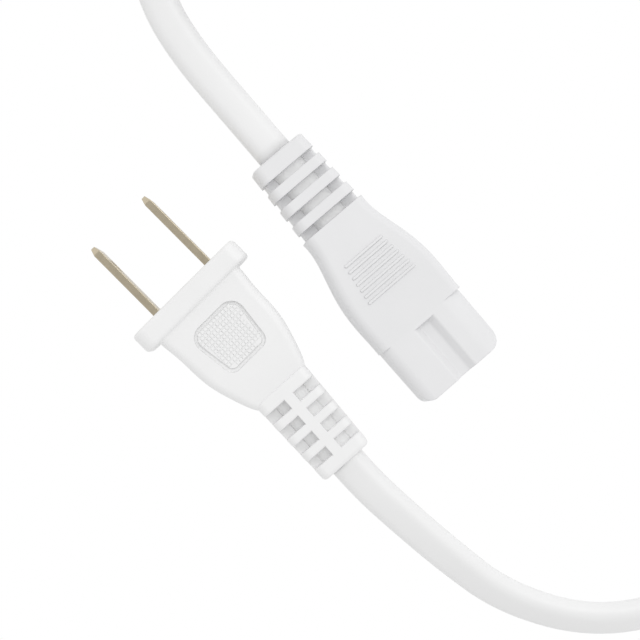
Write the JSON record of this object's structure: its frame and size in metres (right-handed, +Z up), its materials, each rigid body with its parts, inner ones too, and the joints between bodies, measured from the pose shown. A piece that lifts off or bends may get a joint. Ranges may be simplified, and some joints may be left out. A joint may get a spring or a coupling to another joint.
{
  "type": "power cord",
  "caption": "Two-core power cord with a moulded two-blade plug, slotted strain reliefs, a figure-eight appliance connector and a coiled flat lead.",
  "frame": {"origin": "on the surface that the cord lies on, under the middle of the box round the plug and the connector", "axes": "+Z up from that surface; the plug's blades point between -X and +Y, the connector's nose between +X and -Y, and the coil lies towards +Y"},
  "size_m": [0.1286, 0.1966, 0.0169],
  "materials": {
    "white_moulding": "soft white vinyl moulding, satin",
    "white_jacket": "smooth white vinyl jacket, satin",
    "plated_brass": "pale nickel-plated brass strip",
    "spring_bronze": "rolled spring bronze",
    "hard_insert": "hard white thermoplastic",
    "core_white": "white core insulation",
    "core_black": "black core insulation",
    "copper": "stranded copper, drawn as one round conductor",
    "tie_band": "flat white band round the coil"
  },
  "bodies": {
    "root": {"plug_moulding": "white_moulding", "connector_moulding": "white_moulding", "cord_in_plug": "white_jacket", "cord_in_connector": "white_jacket", "cord_from_plug": "white_jacket", "cord_from_connector": "white_jacket", "cord_coil": "white_jacket", "plug_blade_wide": "plated_brass", "plug_blade_narrow": "plated_brass", "contact_sleeve_square": "spring_bronze", "contact_sleeve_round": "spring_bronze", "plug_bridge": "hard_insert", "connector_insert": "hard_insert", "plug_wire_wide": "core_white", "plug_wire_narrow": "core_black", "connector_wire_square": "core_white", "connector_wire_round": "core_black", "plug_conductor_wide": "copper", "plug_conductor_narrow": "copper", "connector_conductor_square": "copper", "connector_conductor_round": "copper", "coil_tie": "tie_band"}
  },
  "joints": []
}
